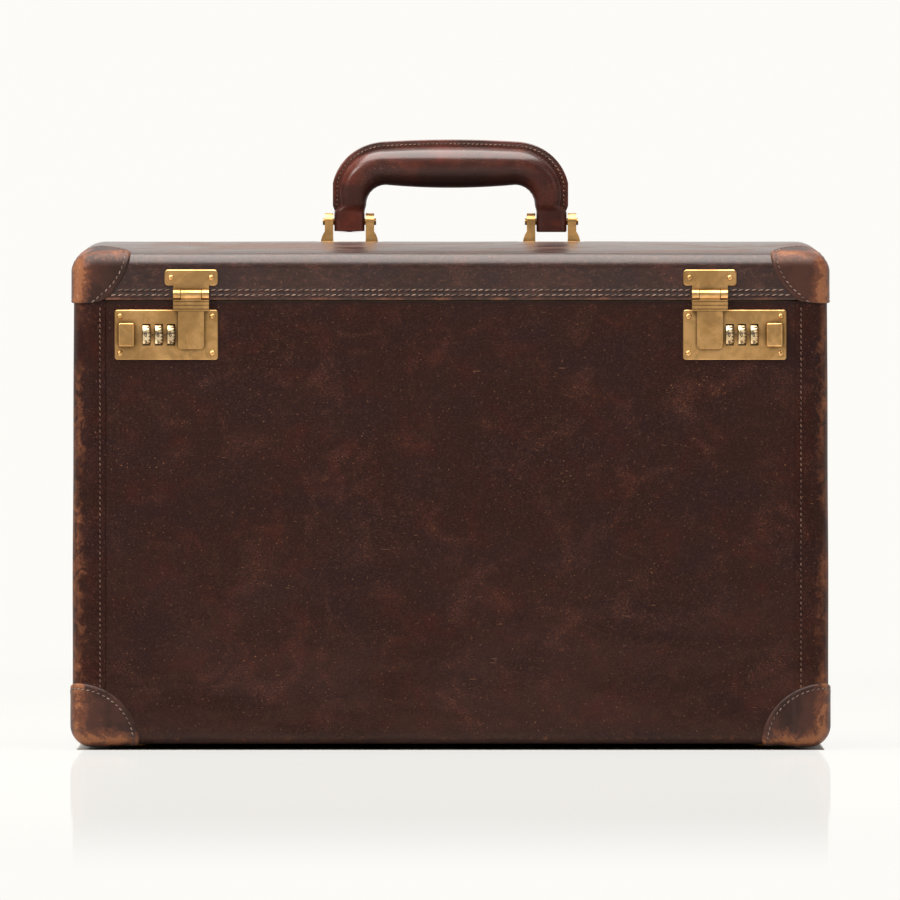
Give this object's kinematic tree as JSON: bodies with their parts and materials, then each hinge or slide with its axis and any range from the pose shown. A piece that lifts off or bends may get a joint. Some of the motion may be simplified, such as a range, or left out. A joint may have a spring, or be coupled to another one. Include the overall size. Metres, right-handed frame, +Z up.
{
  "type": "leather briefcase",
  "caption": "Box-shaped leather briefcase with a hinged lid, stitched corner patches, two combination locks with hasps, and a folding leather-covered handle.",
  "frame": {"origin": "on the floor, below the middle of the case's box", "axes": "+X to the right of the front, +Y towards the back hinge, +Z up"},
  "size_m": [0.457, 0.1912, 0.3671],
  "materials": {
    "case_leather": "dark brown grained hide, scuffed and polished by wear",
    "patch_leather": "moulded brown hide, worn to tan at the corners",
    "handle_leather": "smooth red-brown hide, polished by the hand",
    "plywood": "plain birch plywood",
    "lining_cloth": "brown twill",
    "core_felt": "pressed felt",
    "brass": "satin brass, lightly tarnished",
    "dial_brass": "polished brass with plain digits",
    "steel": "plain steel"
  },
  "bodies": {
    "case_body": {"back_board": "plywood", "base_studs": "brass", "body_lining": "lining_cloth", "body_wrap": "case_leather", "bottom_board": "plywood", "detent_springs": "steel", "dial_axle_left": "steel", "dial_axle_right": "steel", "foot_patch_back_left": "patch_leather", "foot_patch_back_right": "patch_leather", "foot_patch_front_left": "patch_leather", "foot_patch_front_right": "patch_leather", "front_board": "plywood", "hinge_body_leaf": "brass", "hinge_body_rivets": "brass", "hinge_pin": "steel", "left_board": "plywood", "left_end_cover": "case_leather", "lock_case_left": "steel", "lock_case_right": "steel", "lock_plate_left": "brass", "lock_plate_right": "brass", "lock_rivets": "brass", "right_board": "plywood", "right_end_cover": "case_leather", "slide_spring_left": "steel", "slide_spring_right": "steel"},
    "lid": {"lid_back_rail": "plywood", "lid_cover": "case_leather", "lid_front_rail": "plywood", "lid_left_rail": "plywood", "lid_lining": "lining_cloth", "lid_patch_back_left": "patch_leather", "lid_patch_back_right": "patch_leather", "lid_patch_front_left": "patch_leather", "lid_patch_front_right": "patch_leather", "lid_right_rail": "plywood", "lid_top_board": "plywood", "hinge_lid_leaf": "brass", "hinge_lid_rivets": "brass", "hasp_plate_left": "brass", "hasp_plate_right": "brass", "hasp_rivets": "brass", "hasp_pins": "brass", "handle_bracket_left": "brass", "handle_bracket_right": "brass", "handle_pins": "brass", "bracket_screws": "steel"},
    "hasp_left": {"hasp_leaf_left": "brass"},
    "hasp_right": {"hasp_leaf_right": "brass"},
    "handle": {"handle_leather": "handle_leather", "handle_core": "core_felt"},
    "slide_left": {"thumb_slide_left": "brass"},
    "slide_right": {"thumb_slide_right": "brass"},
    "wheel_left_1": {"dial_left_1": "dial_brass"},
    "wheel_left_2": {"dial_left_2": "dial_brass"},
    "wheel_left_3": {"dial_left_3": "dial_brass"},
    "wheel_right_1": {"dial_right_1": "dial_brass"},
    "wheel_right_2": {"dial_right_2": "dial_brass"},
    "wheel_right_3": {"dial_right_3": "dial_brass"}
  },
  "joints": [
    {"name": "lid_hinge", "type": "hinge", "parent": "case_body", "child": "lid", "pos_m": [0, 0.0926, 0.2698], "axis": [-1, 0, 0], "range_deg": [0, 180]},
    {"name": "handle_fold", "type": "hinge", "parent": "lid", "child": "handle", "pos_m": [0, 0, 0.3173], "axis": [1, 0, 0], "range_deg": [-85, 85]},
    {"name": "hasp_left_swing", "type": "hinge", "parent": "lid", "child": "hasp_left", "pos_m": [-0.1556, -0.093, 0.2736], "axis": [-1, 0, 0], "range_deg": [0, 120]},
    {"name": "slide_left_travel", "type": "slide", "parent": "case_body", "child": "slide_left", "axis": [1, 0, 0], "range_m": [0, 0.0035], "stiffness_N_per_m": 400, "springref_m": -0.002, "deforming": ["slide_spring_left"]},
    {"name": "dial_left_1_turn", "type": "hinge", "parent": "case_body", "child": "wheel_left_1", "pos_m": [-0.18235, -0.08635, 0.24935], "axis": [1, 0, 0], "continuous": true},
    {"name": "dial_left_2_turn", "type": "hinge", "parent": "case_body", "child": "wheel_left_2", "pos_m": [-0.17495, -0.08635, 0.24935], "axis": [1, 0, 0], "continuous": true},
    {"name": "dial_left_3_turn", "type": "hinge", "parent": "case_body", "child": "wheel_left_3", "pos_m": [-0.16755, -0.08635, 0.24935], "axis": [1, 0, 0], "continuous": true},
    {"name": "hasp_right_swing", "type": "hinge", "parent": "lid", "child": "hasp_right", "pos_m": [0.1556, -0.093, 0.2736], "axis": [-1, 0, 0], "range_deg": [0, 120]},
    {"name": "slide_right_travel", "type": "slide", "parent": "case_body", "child": "slide_right", "axis": [-1, 0, 0], "range_m": [0, 0.0035], "stiffness_N_per_m": 400, "springref_m": -0.002, "deforming": ["slide_spring_right"]},
    {"name": "dial_right_1_turn", "type": "hinge", "parent": "case_body", "child": "wheel_right_1", "pos_m": [0.18235, -0.08635, 0.24935], "axis": [1, 0, 0], "continuous": true},
    {"name": "dial_right_2_turn", "type": "hinge", "parent": "case_body", "child": "wheel_right_2", "pos_m": [0.17495, -0.08635, 0.24935], "axis": [1, 0, 0], "continuous": true},
    {"name": "dial_right_3_turn", "type": "hinge", "parent": "case_body", "child": "wheel_right_3", "pos_m": [0.16755, -0.08635, 0.24935], "axis": [1, 0, 0], "continuous": true}
  ]
}
